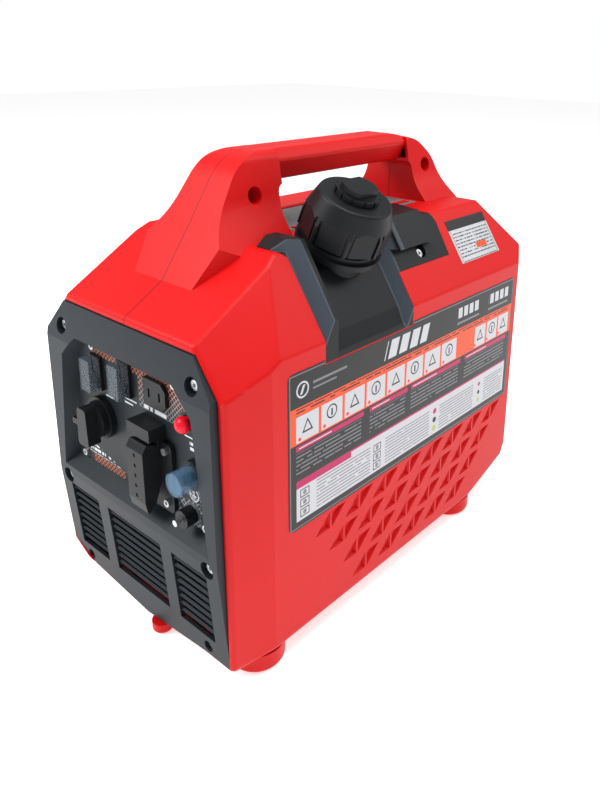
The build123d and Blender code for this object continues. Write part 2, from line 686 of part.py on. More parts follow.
def base_frame():
    low = base_z + wall
    solid = block(-80, 90, -166, 100, low, low + 2)
    solid += [block(crank_x - 68, crank_x + 72, y, y + 18, low + 2, low + 8) for y in (-63, 9)]
    return solid + [block(x - 8, x + 8, -179, -160, low, 30) for x in (-60, 60)]


def engine_mounts():
    low = base_z + wall + 8
    return [rod((crank_x + dx, y, low), UP, 9, 48 - low) for dx in (-52, 52) for y in (-54, 18)]


def inverter_module():
    solid = block(-76, 76, -180, -164, 30, 96)
    return solid + [block(-74 + i * 8, -71 + i * 8, -186, -180, 34, 92) for i in range(19)]


def slanted(y, rise):
    """Plane that faces forward and outward, through the edge of the casing's side at this Y."""
    return Plane((half_width, y, side_top_z), z_dir=(0.594, -0.707, 0.383 + rise))


def pit(grow):
    """Space under the filler: a step, then a slope down to the label, with a slanted rear wall."""
    g = grow
    points = [(150, 225 - g), (150, 360), (40 - g, 360), (40 - g, 309 - g), (72 - g, 309 - g),
              (82.7 - g, 300 - g),
              (108.5 - g, 260 - g), (115.5 - g, 247 - g), (118.5, 243.5 - g)]
    return split(prism_y(points, -92 - g, 8 + g), bisect_by=slanted(4 + 1.4 * g, 0), keep=Keep.TOP)


def fuel_tank():
    outer = fillet(block(-72, 62, -104, 134, 248, deck_z - wall - 4).edges(), 9) - pit(6)
    inner = fillet(block(-70, 60, -102, 132, 250, deck_z - wall - 6).edges(), 7) - pit(8.5)
    return outer - inner - rod(along(filler, tilt_axis, -70), tilt_axis, neck_r, 100)


def filler_trim():
    """Black surround of the filler: a proud rim with a slanted front, a sloping floor and a flush wing."""
    region = trim_region(slack)
    skin = casing(0) & region
    rim = (casing(-rim_rise) & region & block(52, half_width, -114, 64, 240, 345)) - block(0, 150, -9,
            90, 230, 304)
    rim = split(rim, bisect_by=slanted(-106 + slack, 0), keep=Keep.BOTTOM)
    rim = split(rim, bisect_by=Plane((55, -114 + slack, deck_z), z_dir=(0, -0.6, 0.8)), keep=Keep.BOTTOM)
    rim = split(rim, bisect_by=Plane((60, 64, deck_z), z_dir=(0.2, 0.85, 0.5)), keep=Keep.BOTTOM)
    solid = skin - casing(2.5) + (rim - casing(2.5))
    solid += (pit(2.4) - pit(0)) & (skin + casing(wall + slack)) & block(30, 150, -110, 14, 230, 330)
    solid = solid - pit(0) - rod(along(filler, tilt_axis, -1), tilt_axis, cap_r + 2, 80)
    solid -= rod(along(filler, tilt_axis, -70), tilt_axis, neck_r + slack, 120)
    tub = slope_place(trim_screw) * extrude(SlotOverall(*slot_size, rotation=90), -slot_deep)
    rim = slope_place(trim_screw) * extrude(SlotOverall(*[v + 5 for v in slot_size], rotation=90),
                                            -slot_deep - 2.4)
    solid += rim & casing(0.5)
    return solid - tub - rod(trim_screw_head(), trim_axis(), screw_r, 10)


def slope_place(place):
    """Frame on the right upper slope: X runs to the rear and Y up the slope."""
    start = Plane((half_width, place[0], side_top_z), x_dir=(0, 1, 0), z_dir=slope_out)
    return start * Pos(0, place[1], 0)


def trim_axis():
    return tuple(-o / hypot(*slope_out) for o in slope_out)


def trim_screw_head():
    """Where the head of the screw in the surround's wing sits, in the lower end of its recess."""
    place = slope_place((trim_screw[0], trim_screw[1] - 6))
    return tuple((place * Pos(0, 0, -slot_deep)).position)


def filler_neck():
    solid = rod(along(filler, tilt_axis, -36), tilt_axis, neck_r, 38)
    solid += rod(filler, tilt_axis, 36.5, 5) + rod(along(filler, tilt_axis, 5), tilt_axis, 33, 4)
    solid += rod(along(filler, tilt_axis, 9), tilt_axis, 25, cap_low + 3)
    return solid - rod(along(filler, tilt_axis, -60), tilt_axis, neck_r - 5, 120)


def cap_gasket():
    return tube(along(filler, tilt_axis, cap_low + 12 + slack), tilt_axis, 25.5, 17, 2)


def fuel_cap():
    """Eight-sided below and round above, so each flat ends in an arch."""
    start = along(filler, tilt_axis, cap_low)
    solid = rod(start, tilt_axis, cap_r, 15) + cone(along(start, tilt_axis, 15), tilt_axis, cap_r, 30, 21)
    rims = solid.edges().sort_by(lambda e: e.center().dot(Vector(*tilt_axis)))
    solid = fillet(rims[-1], 3)
    frame = Plane(start, x_dir=(0, 1, 0), z_dir=tilt_axis)
    solid &= frame * extrude(RegularPolygon(cap_r + 0.2, 8), 60)
    for i in range(8):
        for da in (-4.5, 4.5):
            solid -= frame * (Rot(0, 0, i * 45 + da) * Pos(cap_r - 1.0, 0, 8) * Box(2.6, 2.4, 60))
    solid -= rod(along(start, tilt_axis, -1), tilt_axis, 27, 15 + slack)
    return solid - rod(along(start, tilt_axis, 10), tilt_axis, 3.2, 40)


def vent_knob():
    """Notched collar, a domed disc and a finger bar across it."""
    start = along(filler, tilt_axis, cap_low + 36 + slack)
    frame = Plane(start, x_dir=(0, 1, 0), z_dir=tilt_axis)
    solid = rod(start, tilt_axis, 18.5, 4.5)
    for i in range(12):
        solid -= frame * (Rot(0, 0, i * 30) * Pos(18.6, 0, 1) * Box(2.0, 2.4, 9))
    disc = rod(along(start, tilt_axis, 3), tilt_axis, 15, 6.5)
    solid += disc - frame * (Pos(0, 16.5, 8) * Box(40, 11, 6)) - frame * (Pos(0, -16.5, 8) * Box(40,
            11, 6))
    return solid + rod(along(start, tilt_axis, -18), tilt_axis, 3.1, 20)


def reset_base():
    x, z = reset_place
    return tube((x, plate_y - 3.5, z), BACK, 8.3, 5.8, 3.5) + tube((x, plate_y, z), BACK, 5.9, 5.3, 14)


def reset_button():
    x, z = reset_place
    solid = rod((x, plate_y - 6.5, z), BACK, 5.0, 14)
    return solid + Pos(x, plate_y - 6.5, z) * (Sphere(6.6) & (Pos(0, -10, 0) * Box(30, 20, 30)))


def breaker_base():
    x, z = breaker_place
    solid = rod((x, plate_y - 5, z), BACK, 11.5, 5) + rod((x, plate_y, z), BACK, 7.7, 18)
    return solid - rod((x, plate_y - 6, z), BACK, 4.2, 16)


def breaker_plunger():
    x, z = breaker_place
    return rod((x, plate_y - 14, z), BACK, 3.9, 20)


def breaker_boot():
    x, z = breaker_place
    solid = rod((x, plate_y - 20.6, z), BACK, 9, 15.6)
    return solid - rod((x, plate_y - 19.4, z), BACK, 7.8, 20)


def ground_stud():
    x, z = ground_place
    return rod((x, plate_y - 18, z), BACK, 2.5, 30) + tube((x, plate_y - 2, z), BACK, 7, 2.5, 2)


def ground_nut():
    x, z = ground_place
    solid = tube((x, plate_y - 12, z), BACK, 7.2, 2.5 + running_gap, 9.6)
    for i in range(10):
        solid -= Pos(x, plate_y - 8, z) * (Rot(0, i * 36, 0) * Pos(7.6, 0, 0) * Box(1.4, 12, 1.6))
    return solid


def ignition_coil():
    solid = block(crank_x - 15, crank_x + 15, -100, -70, crank_z + 56.5, crank_z + 74)
    return solid + block(crank_x - 15, crank_x + 15, -70, -66, crank_z + 32, crank_z + 74)


def spark_plug():
    y, z = sum(crankcase_y) / 2, crank_z + 105.5
    return rod((crank_x, y + 24, z), BACK, 4.5, 40)


def side_label():
    plate = block(half_width, half_width + 0.3, -146, 179, 115, 246)
    return fillet(plate.edges().filter_by(Axis.X), 5) - block(half_width - 1, half_width + 1, -107, 5,
            242, 250)


def rating_label():
    return slope_place((128, 40)) * (Pos(0, 0, 0.15) * Box(67, 43, 0.3))


def panel_screws():
    return [screw((x, panel_face_y(z) + 5.6, z), BACK, 12) for x, z in panel_screw_places()]


def plate_screws():
    small = [screw((x, plate_y, z), BACK, 8, 1.5, 3.0) for x, z in plate_screw_places]
    return small + [screw((x, plate_y - 4, z), BACK, 9, 1.5, 3.0) for x, z in guide_screw_places]


def handle_screws():
    return [screw((9, y, handle_hole_z), LEFT, 17) for y in handle_hole]


def trim_screws():
    return [screw(trim_screw_head(), trim_axis(), 9)]


def rear_screws():
    return [screw((x, rear_y, z), FRONT, 5.6) for x, z in rear_screw_places]


def cover_screws():
    return [screw((-half_width + 2.1, y, z), RIGHT, 10) for y, z in cover_screw_places]


pieces = {
    "left_shell": lambda: shell(-1),
    "right_shell": lambda: shell(1),
    "front_panel": front_panel,
    "control_plate": control_plate,
    "left_switch_frame": lambda: switch_frame(switch_places[0]),
    "right_switch_frame": lambda: switch_frame(switch_places[1]),
    "left_rocker": lambda: rocker(switch_places[0]),
    "right_rocker": lambda: rocker(switch_places[1]),
    "left_switch_cover": lambda: switch_cover(switch_places[0]),
    "right_switch_cover": lambda: switch_cover(switch_places[1]),
    "outlet_socket": outlet_socket,
    "engine_switch_base": engine_switch_base,
    "engine_switch_knob": engine_switch_knob,
    "recoil_guide": recoil_guide,
    "recoil_grip": recoil_grip,
    "starter_rope": starter_rope,
    "recoil_reel": recoil_reel,
    "recoil_spring": recoil_spring,
    "recoil_housing": recoil_housing,
    "fan_shroud": fan_shroud,
    "starter_cup": starter_cup,
    "cooling_fan": cooling_fan,
    "flywheel_rotor": flywheel_rotor,
    "stator": stator,
    "crankcase": crankcase,
    "crankshaft": crankshaft,
    "cylinder": cylinder,
    "piston": piston,
    "spark_plug": spark_plug,
    "ignition_coil": ignition_coil,
    "carburettor": carburettor,
    "air_filter_box": air_filter_box,
    "muffler": muffler,
    "exhaust_manifold": exhaust_manifold,
    "exhaust_outlet": exhaust_outlet,
    "rear_panel": rear_panel,
    "top_inlay": top_inlay,
    "feet": feet,
    "base_frame": base_frame,
    "engine_mounts": engine_mounts,
    "inverter_module": inverter_module,
    "fuel_tank": fuel_tank,
    "filler_trim": filler_trim,
    "filler_neck": filler_neck,
    "cap_gasket": cap_gasket,
    "fuel_cap": fuel_cap,
    "vent_knob": vent_knob,
    "reset_base": reset_base,
    "reset_button": reset_button,
    "breaker_base": breaker_base,
    "breaker_plunger": breaker_plunger,
    "breaker_boot": breaker_boot,
    "ground_stud": ground_stud,
    "ground_nut": ground_nut,
    "service_cover": service_cover,
    "cover_screws": cover_screws,
    "side_label": side_label,
    "rating_label": rating_label,
    "casing_screws": lambda: panel_screws() + handle_screws() + rear_screws() + trim_screws(),
    "plate_screws": plate_screws,
}

if __name__ == "__main__":
    os.makedirs("parts", exist_ok=True)
    for name, make in pieces.items():
        solid = make()
        solid = Compound(children=solid) if isinstance(solid, list) else solid
        export_step(solid, f"parts/{name}.step")
        print(name, round(solid.volume), [round(v) for v in (*solid.bounding_box().min,
                *solid.bounding_box().max)], flush=True)
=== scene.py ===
import bpy
import json
import math
from mathutils import Vector, Matrix

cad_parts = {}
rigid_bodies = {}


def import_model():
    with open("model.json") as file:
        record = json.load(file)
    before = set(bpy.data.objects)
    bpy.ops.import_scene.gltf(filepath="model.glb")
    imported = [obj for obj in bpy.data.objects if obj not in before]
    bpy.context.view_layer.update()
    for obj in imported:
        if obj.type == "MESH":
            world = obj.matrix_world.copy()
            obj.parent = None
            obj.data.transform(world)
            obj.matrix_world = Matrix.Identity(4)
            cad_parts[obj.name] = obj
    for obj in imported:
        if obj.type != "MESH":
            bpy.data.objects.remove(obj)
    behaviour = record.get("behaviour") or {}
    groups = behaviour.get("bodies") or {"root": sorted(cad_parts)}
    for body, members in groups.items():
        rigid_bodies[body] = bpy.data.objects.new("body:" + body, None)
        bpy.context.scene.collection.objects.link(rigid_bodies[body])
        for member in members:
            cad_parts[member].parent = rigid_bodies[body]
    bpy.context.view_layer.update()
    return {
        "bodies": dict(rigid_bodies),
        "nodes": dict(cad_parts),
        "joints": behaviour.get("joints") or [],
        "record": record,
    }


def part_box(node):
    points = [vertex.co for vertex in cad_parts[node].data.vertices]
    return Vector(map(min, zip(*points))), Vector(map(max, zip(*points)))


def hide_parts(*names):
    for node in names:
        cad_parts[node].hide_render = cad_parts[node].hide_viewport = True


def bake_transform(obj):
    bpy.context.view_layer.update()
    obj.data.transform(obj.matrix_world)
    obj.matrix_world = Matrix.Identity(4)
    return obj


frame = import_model()
bpy.ops.object.select_all(action="DESELECT")
print("frame loaded:", len(frame["nodes"]), "nodes")


class Wire:
    def __init__(self, paint, socket):
        self.paint, self.socket = paint, socket

    def calc(self, how, *others):
        return self.paint.add("ShaderNodeMath", {"operation": how}, [self, *others])

    def __add__(self, other):
        return self.calc("ADD", other)

    def __mul__(self, other):
        return self.calc("MULTIPLY", other)

    def __sub__(self, other):
        return self.calc("SUBTRACT", other)

    def __truediv__(self, other):
        return self.calc("DIVIDE", other)

    def __gt__(self, other):
        return self.calc("GREATER_THAN", other)

    def __lt__(self, other):
        return self.calc("LESS_THAN", other)

    def __pow__(self, other):
        return self.calc("POWER", other)

    def __rsub__(self, other):
        return self.paint.add("ShaderNodeMath", {"operation": "SUBTRACT"}, [other, self])

    def __abs__(self):
        return self.calc("ABSOLUTE")

    __radd__, __rmul__ = __add__, __mul__
    def fract(self):
        return self.calc("FRACT")

    def most(self, other):
        return self.calc("MAXIMUM", other)

    def least(self, other):
        return self.calc("MINIMUM", other)

    def sine(self):
        return self.calc("SINE")

    def floor(self):
        return self.calc("FLOOR")


class Paint:
    def __init__(self, name, **sockets):
        self.material = bpy.data.materials.new(name)
        self.material.use_nodes = True
        self.tree = self.material.node_tree
        self.tree.nodes.clear()
        self.out = self.tree.nodes.new("ShaderNodeOutputMaterial")
        self.shader = self.tree.nodes.new("ShaderNodeBsdfPrincipled")
        self.tree.links.new(self.shader.outputs[0], self.out.inputs[0])
        self.set(**sockets)

    def add(self, kind, settings=None, values=(), pick=0):
        node = self.tree.nodes.new(kind)
        for key, value in (settings or {}).items():
            if key == "stops":
                ramp = node.color_ramp
                while len(ramp.elements) < len(value):
                    ramp.elements.new(0.5)
                for element, (place, colour) in zip(ramp.elements, value):
                    element.position, element.color = place, (*colour, 1)
            else:
                setattr(node, key, value)
        pairs = values.items() if isinstance(values, dict) else enumerate(values)
        for key, value in pairs:
            if isinstance(value, Wire):
                self.tree.links.new(value.socket, node.inputs[key])
            else:
                node.inputs[key].default_value = value
        return Wire(self, node.outputs[pick])

    def set(self, **sockets):
        for key, value in sockets.items():
            socket = self.shader.inputs[key.replace("_", " ")]
            if isinstance(value, Wire):
                self.tree.links.new(value.socket, socket)
            else:
                socket.default_value = (*value, 1) if isinstance(value,
                        tuple) and len(value) == 3 and socket.type == "RGBA" else value
        return self

    def place(self):
        return self.add("ShaderNodeTexCoord", pick=3)

    def axes(self):
        split = self.add("ShaderNodeSeparateXYZ", values=[self.place()])
        node = split.socket.node
        return [Wire(self, node.outputs[i]) for i in range(3)]

    def noise(self, scale, detail=3, rough=0.5, where=None):
        return self.add("ShaderNodeTexNoise", values={"Vector": where or self.place(), "Scale": scale,
                                                      "Detail": detail, "Roughness": rough})

    def mix(self, factor, first, second):
        first = first if isinstance(first, Wire) else (*first, 1)
        second = second if isinstance(second, Wire) else (*second, 1)
        return self.add("ShaderNodeMix", {"data_type": "RGBA"}, {0: factor, 6: first, 7: second}, pick=2)

    def bump(self, height, distance=0.0002, strength=1.0):
        self.set(Normal=self.add("ShaderNodeBump", values={"Strength": strength, "Distance": distance,
                "Height": height}))
        return self

    def within(self, wire, low, high):
        return (wire > low) * (wire < high)

    def block(self, u, v, left, right, low, high):
        return self.within(u, left, right) * self.within(v, low, high)

    def ring(self, u, v, centre, inner, outer):
        away = ((u - centre[0]) ** 2 + (v - centre[1]) ** 2) ** 0.5
        return self.within(away, inner, outer)

    def ticks(self, u, v, pitch, thick, length=900, least=0.44):
        row = (v / pitch).floor()
        spot = self.add("ShaderNodeCombineXYZ", values=[u * length, row * 5.3, 0.0])
        gaps = self.noise(1.0, 1, 0.5, spot) > least
        return ((v / pitch).fract() < thick) * gaps


finishes = {
    "shellRed": dict(deep=(0.50, 0.0022, 0.0030), bright=(0.60, 0.0036, 0.0040), rough=0.38),
    "panelBlack": dict(deep=(0.009, 0.013, 0.017), bright=(0.016, 0.022, 0.028), rough=0.42),
    "smoothBlack": dict(deep=(0.004, 0.005, 0.006), bright=(0.009, 0.010, 0.012), rough=0.38),
    "slateTrim": dict(deep=(0.030, 0.040, 0.054), bright=(0.044, 0.056, 0.072), rough=0.5),
}


def mouldedPlastic(name, deep, bright, rough, grain=1400, pore=0.00005, sheen=0.2):
    paint = Paint(name, IOR=1.5, Specular_IOR_Level=sheen)
    cloud = paint.noise(9, 4)
    fine = paint.noise(grain, 2)
    paint.set(Base_Color=paint.mix(cloud, deep, bright),
              Roughness=cloud * 0.12 + (rough - 0.06) + fine * 0.05)
    return paint.bump(fine, pore, 0.5)


def metal(name, colour, rough, cast=False):
    paint = Paint(name, Metallic=1.0)
    cloud = paint.noise(30, 4)
    grain = paint.noise(420 if cast else 900, 4, 0.65)
    dark = tuple(c * 0.7 for c in colour)
    paint.set(Base_Color=paint.mix(cloud, dark, colour), Roughness=grain * 0.25 + rough)
    return paint.bump(grain, 0.0003 if cast else 0.00003)


def clearPlastic(name, tint, alpha):
    paint = Paint(name, Roughness=0.12, Base_Color=tint, IOR=1.49)
    haze = paint.noise(60, 3)
    paint.set(Alpha=haze * 0.04 + alpha, Roughness=haze * 0.05 + 0.08)
    return paint


red = mouldedPlastic("redShell", **finishes["shellRed"])
panelBlack = mouldedPlastic("panelBlack", **finishes["panelBlack"])
smoothBlack = mouldedPlastic("smoothBlack", **finishes["smoothBlack"])
slate = mouldedPlastic("slateTrim", **finishes["slateTrim"])
inlayGrey = mouldedPlastic("inlayGrey", (0.07, 0.075, 0.08), (0.12, 0.125, 0.13), 0.6, 500, 0.0002)
steel = metal("zincSteel", (0.6, 0.61, 0.63), 0.25)
darkSteel = metal("darkSteel", (0.16, 0.16, 0.17), 0.4)
aluminium = metal("castAluminium", (0.68, 0.69, 0.7), 0.38, True)
castIron = metal("castIron", (0.2, 0.2, 0.21), 0.5, True)
copper = metal("copperWinding", (0.62, 0.28, 0.13), 0.3)
rubber = mouldedPlastic("blackRubber", (0.012, 0.012, 0.013), (0.022, 0.022, 0.023), 0.7)
clear = clearPlastic("clearCover", (0.10, 0.13, 0.16), 0.22)
boot = clearPlastic("boot", (0.12, 0.26, 0.42), 0.26)
buttonRed = mouldedPlastic("buttonRed", (0.75, 0.004, 0.02), (0.9, 0.01, 0.03), 0.25)
cordBlack = mouldedPlastic("cord", (0.01, 0.01, 0.012), (0.03, 0.03, 0.034), 0.8)

inlayRibs = {"inner": 0.0285, "outer": 0.0355, "above": 0.3224}
# half-width and strength of the painted shade line along the parting seam of the two shell halves
seamShade = {"half": 0.00045, "depth": 0.8}


def seamedShell():
    paint = mouldedPlastic("redCasing", **finishes["shellRed"])
    x = paint.axes()[0]
    # painted shade: a dark red line at x = 0 stands in for the shadow inside the gap between the two shell
    # halves
    line = (abs(x) < seamShade["half"]) * seamShade["depth"]
    cloud = paint.noise(9, 4)
    body = paint.mix(cloud, finishes["shellRed"]["deep"], finishes["shellRed"]["bright"])
    return paint.set(Base_Color=paint.mix(line, body, (0.06, 0.002, 0.002)))


def deckInlay():
    paint = mouldedPlastic("deckInlay", (0.10, 0.105, 0.11), (0.19, 0.195, 0.20), 0.62, 500, 0.0002)
    x, y, z = paint.axes()
    ribs = paint.within(abs(x), inlayRibs["inner"], inlayRibs["outer"]) * (z > inlayRibs["above"])
    grey = paint.mix(paint.noise(420, 3), (0.08, 0.085, 0.09), (0.22, 0.225, 0.23))
    return paint.set(Base_Color=paint.mix(ribs, grey, finishes["shellRed"]["bright"]))


# the surround is black, with slate on the slanted front face and on the rear wall of its pit
surround = {"out": (0.594, -0.707, 0.383), "corner": (0.118, 0.260), "faces": (-0.106, 0.004),
            "near": 0.0016}


def fillerSurround():
    paint = mouldedPlastic("fillerSurround", **finishes["smoothBlack"])
    x, y, z = paint.axes()
    nx, ny, nz = surround["out"]
    cornerX, cornerZ = surround["corner"]
    black = paint.mix(paint.noise(9, 4), finishes["smoothBlack"]["deep"], finishes["smoothBlack"]["bright"])
    mask = None
    for place in surround["faces"]:
        away = abs((x - cornerX) * nx + (y - place) * ny + (z - cornerZ) * nz)
        here = away < surround["near"]
        mask = here if mask is None else mask.most(here)
    return paint.set(Base_Color=paint.mix(mask, black, finishes["slateTrim"]["bright"]))


labelInk = {
    "black": (0.010, 0.010, 0.011), "white": (0.50, 0.51, 0.54), "grey": (0.17, 0.175, 0.19),
    "orange": (0.72, 0.075, 0.015), "magenta": (0.42, 0.008, 0.09), "red": (0.75, 0.02,
            0.01), "green": (0.35, 0.45, 0.03),
}
labelBoxes = [dict(start=-0.138, pitch=0.027, count=8, fill=0.90),
              dict(start=0.108, pitch=0.0222, count=3, fill=0.88)]
labelColumns = [(-0.138, -0.060), (-0.052, 0.000), (0.005, 0.084), (0.092, 0.170)]


def sideFilm():
    ink = labelInk
    paint = Paint("sideFilm", IOR=1.5, Specular_IOR_Level=0.25)
    x, y, z = paint.axes()
    coat = paint.mix(paint.noise(14, 3), ink["black"], (0.020, 0.020, 0.022))

    def lay(mask, colour):
        nonlocal coat
        coat = paint.mix(mask, coat, ink[colour])

    edge = paint.block(y, z, -0.1446, 0.1776, 0.1164,
                       0.2446) * (1 - paint.block(y, z, -0.1438, 0.1768, 0.1172, 0.2438))
    lay(edge, "grey")
    lay(paint.ring(y, z, (-0.131, 0.231), 0.0052, 0.0066), "white")   # generic spark mark
    lean = y - (z - 0.231) * 0.45
    lay(paint.block(lean, z, -0.1322, -0.1298, 0.2275, 0.2345), "white")
    lay(paint.block(y, z, -0.120, -0.082, 0.2320, 0.2340), "grey")
    lay(paint.block(y, z, -0.120, -0.094, 0.2275, 0.2290), "grey")
    slant = y - (z - 0.222) * 0.3
    lay(paint.block(slant, z, -0.035, 0.025, 0.222, 0.238) * ((slant / 0.015).fract() < 0.74), "white")
    for left, right in ((0.075, 0.113), (0.130, 0.168)):
        lay(paint.block(y, z, left, right, 0.2285, 0.2385) * ((y / 0.0095).fract() < 0.7), "white")
        lay(paint.block(y, z, left, right, 0.2225, 0.2245), "grey")
    lay(paint.block(y, z, -0.1438, 0.1768, 0.188, 0.218), "orange")
    lay(paint.block(y, z, -0.138, 0.172, 0.2118, 0.2168) * paint.ticks(y, z, 0.0026, 0.5, 180, 0.42),
        "black")
    for row in labelBoxes:
        last = row["start"] + row["count"] * row["pitch"]
        part = (y - row["start"]) / row["pitch"]
        across = (part.fract() - row["fill"] / 2) * row["pitch"]
        inside = paint.within(y, row["start"], last) * (part.fract() < row["fill"]) * paint.within(z,
                0.1892, 0.2104)
        lay(inside, "white")
        kind = (part.floor() * 0.5).fract() > 0.25     # every second box has a ring
        drop = z - 0.2005
        ring = paint.ring(across, drop, (0, 0.001), 0.0048, 0.0060)
        tent = paint.within(drop, -0.0050, 0.0062) * (abs(across) * 1.9 + drop < 0.0062)
        hollow = paint.within(drop, -0.0036, 0.0040) * (abs(across) * 1.9 + drop < 0.0038)
        post = paint.block(across, drop, -0.0009, 0.0009, -0.0026, 0.0034)
        lay(inside * kind * ring.most(post), "black")
        lay(inside * (1 - kind) * tent * (1 - hollow), "black")
        lay(inside * paint.ring(across, drop, (-0.0085, -0.0088), 0, 0.0016), "red")
    for left, right in labelColumns:
        lay(paint.block(y, z, left, right, 0.1820, 0.1862), "magenta")
        lay(paint.block(y, z, left + 0.003, (left + right) / 2, 0.1836, 0.1846), "white")
        lay(paint.block(y, z, left, right - 0.003, 0.1610, 0.1806) * paint.ticks(y, z, 0.0034, 0.34,
                160, 0.36), "grey")
    lay(paint.block(y, z, -0.138, 0.172, 0.122, 0.157), "white")
    lay(paint.block(y, z, -0.138, 0.172, 0.1554, 0.157), "magenta")
    lay(paint.block(y, z, -0.138, -0.075, 0.1505, 0.157), "magenta")
    for left, right in ((-0.116, -0.050), (-0.030, 0.036), (0.052, 0.112), (0.132, 0.168)):
        lay(paint.block(y, z, left, right, 0.1242, 0.1492) * paint.ticks(y, z, 0.0029, 0.34, 130,
                0.34), "grey")
    for left in (-0.134, -0.046):
        cell = ((z - 0.1245) / 0.0085).fract()
        frame = paint.block(y, z, left, left + 0.010, 0.1245, 0.1500) * (cell < 0.82)
        core = paint.within(y, left + 0.0008, left + 0.0092) * paint.within(cell, 0.10, 0.72)
        lay(frame * (1 - core), "black")
        lay(frame * paint.ring(y, cell * 0.0085, (left + 0.005, 0.0035), 0, 0.0020), "grey")
    for place, colour in ((0.1460, "magenta"), (0.1370, "black"), (0.1285, "green")):
        lay(paint.ring(y, z, (0.0445, place), 0, 0.0028), colour)
        lay(paint.ring(y, z, (0.1225, place), 0, 0.0022), colour)
    grain = paint.noise(900, 2)
    paint.set(Base_Color=coat, Roughness=grain * 0.08 + 0.30)
    return paint.bump(grain, 0.00002, 0.4)


plateInk = {"black": (0.010, 0.013, 0.016), "light": (0.62, 0.65, 0.68), "salmon": (0.80, 0.20, 0.08),
            "orange": (0.85, 0.13, 0.01)}
plateMarks = [
    (-0.014, 0.008, 0.2372, 0.2388), (0.018, 0.042, 0.2345, 0.2360), (-0.041, -0.031, 0.1962, 0.1978),
    (-0.014, 0.002, 0.2032, 0.2046), (-0.014, -0.003, 0.1996, 0.2010),
    (0.012, 0.018, 0.2038, 0.2072), (0.020, 0.023, 0.2038, 0.2072), (0.026, 0.040, 0.2038, 0.2072),
    (0.061, 0.079, 0.1985, 0.1996),
]


def controlPrints():
    ink = plateInk
    paint = Paint("controlPlate", IOR=1.5, Specular_IOR_Level=0.2)
    x, y, z = paint.axes()
    coat = paint.mix(paint.noise(12, 3), ink["black"], (0.018, 0.023, 0.028))
    rise = ((x + z) / 0.0046).fract() < 0.17
    fall = ((x - z) / 0.0046).fract() < 0.17
    net = rise.most(fall)
    high = ((z - 0.205) / 0.030).most(0.0).least(1.0)
    tone = paint.mix(high, ink["light"], ink["salmon"])
    top = paint.block(x, z, -0.058, 0.064, 0.229, 0.243)
    around = paint.block(x, z, 0.006, 0.066, 0.203, 0.243)
    coat = paint.mix(net * top.most(around) * (high * 0.45 + 0.35), coat, tone)
    coat = paint.mix(rise.most(fall) * paint.block(x, z, -0.068, -0.022, 0.125, 0.1335) * 0.7, coat,
                     ink["salmon"])
    speck = paint.noise(160, 2) > 0.46
    coat = paint.mix(net * paint.block(x, z, 0.046, 0.086, 0.1255, 0.158) * speck * 0.5, coat, ink["light"])
    marks = None
    for left, right, low, high in plateMarks:
        mark = paint.block(x, z, left, right, low, high)
        marks = mark if marks is None else marks.most(mark)
    icons = paint.block(x, z, -0.080, -0.028, 0.134,
                        0.150) * (abs((z - 0.1345) * 1.0 + (x + 0.054) * 0.22) < 0.0062)
    marks = marks.most(icons * paint.ticks(x, z, 0.0044, 0.6, 420, 0.47))
    marks = marks.most(paint.block(x, z, 0.066, 0.078, 0.1885, 0.1965) * paint.ticks(x, z, 0.0042, 0.6,
            520, 0.45))
    marks = marks.most(paint.ring(x, z, (0.0686, 0.1520), 0.0046, 0.0054))
    marks = marks.most(paint.block(x, z, 0.0682, 0.0690, 0.1515, 0.1555))
    for width, level in ((0.0030, 0.1512), (0.0020, 0.1500), (0.0010, 0.1488)):
        marks = marks.most(paint.block(x, z, 0.0686 - width, 0.0686 + width, level, level + 0.0006))
    coat = paint.mix(marks, coat, ink["light"])
    halo = paint.ring(x, z, (0.0695, 0.2130), 0.0098, 0.0120)
    upper = halo * (z > 0.2200) * (x < 0.0740)
    lower = halo * (z < 0.2090) * (x > 0.0700)
    coat = paint.mix(upper.most(lower), coat, ink["orange"])
    grain = paint.noise(1300, 2)
    paint.set(Base_Color=coat, Roughness=grain * 0.1 + 0.38)
    return paint.bump(grain, 0.00003, 0.5)


ratingLabel = {"low": 0.2776, "high": 0.3095, "front": 0.0955, "rear": 0.1600}


def ratingFilm():
    spot = ratingLabel
    paint = Paint("ratingFilm", Metallic=0.55)
    x, y, z = paint.axes()
    silver = paint.mix(paint.noise(22, 3), (0.42, 0.43, 0.45), (0.58, 0.59, 0.61))
    coat = paint.mix(paint.block(y, z, 0, 1, spot["high"] - 0.006, 1), silver, (0.015, 0.015, 0.017))
    body = paint.block(y, z, 0.098, 0.158, 0.2790, 0.3025)
    coat = paint.mix(body * paint.ticks(y, z, 0.0028, 0.38), coat, (0.05, 0.05, 0.055))
    coat = paint.mix(paint.block(y, z, 0.128, 0.146, 0.2840, 0.2885), coat, labelInk["orange"])
    frame = paint.block(y, z, 0.0968, 0.1592, 0.2762,
                        0.3110) * (1 - paint.block(y, z, 0.0974, 0.1586, 0.2768, 0.3104))
    coat = paint.mix(frame, coat, (0.02, 0.02, 0.02))
    grain = paint.noise(1100, 3)
    paint.set(Base_Color=coat, Roughness=grain * 0.15 + 0.28)
    return paint.bump(grain, 0.00002, 0.4)


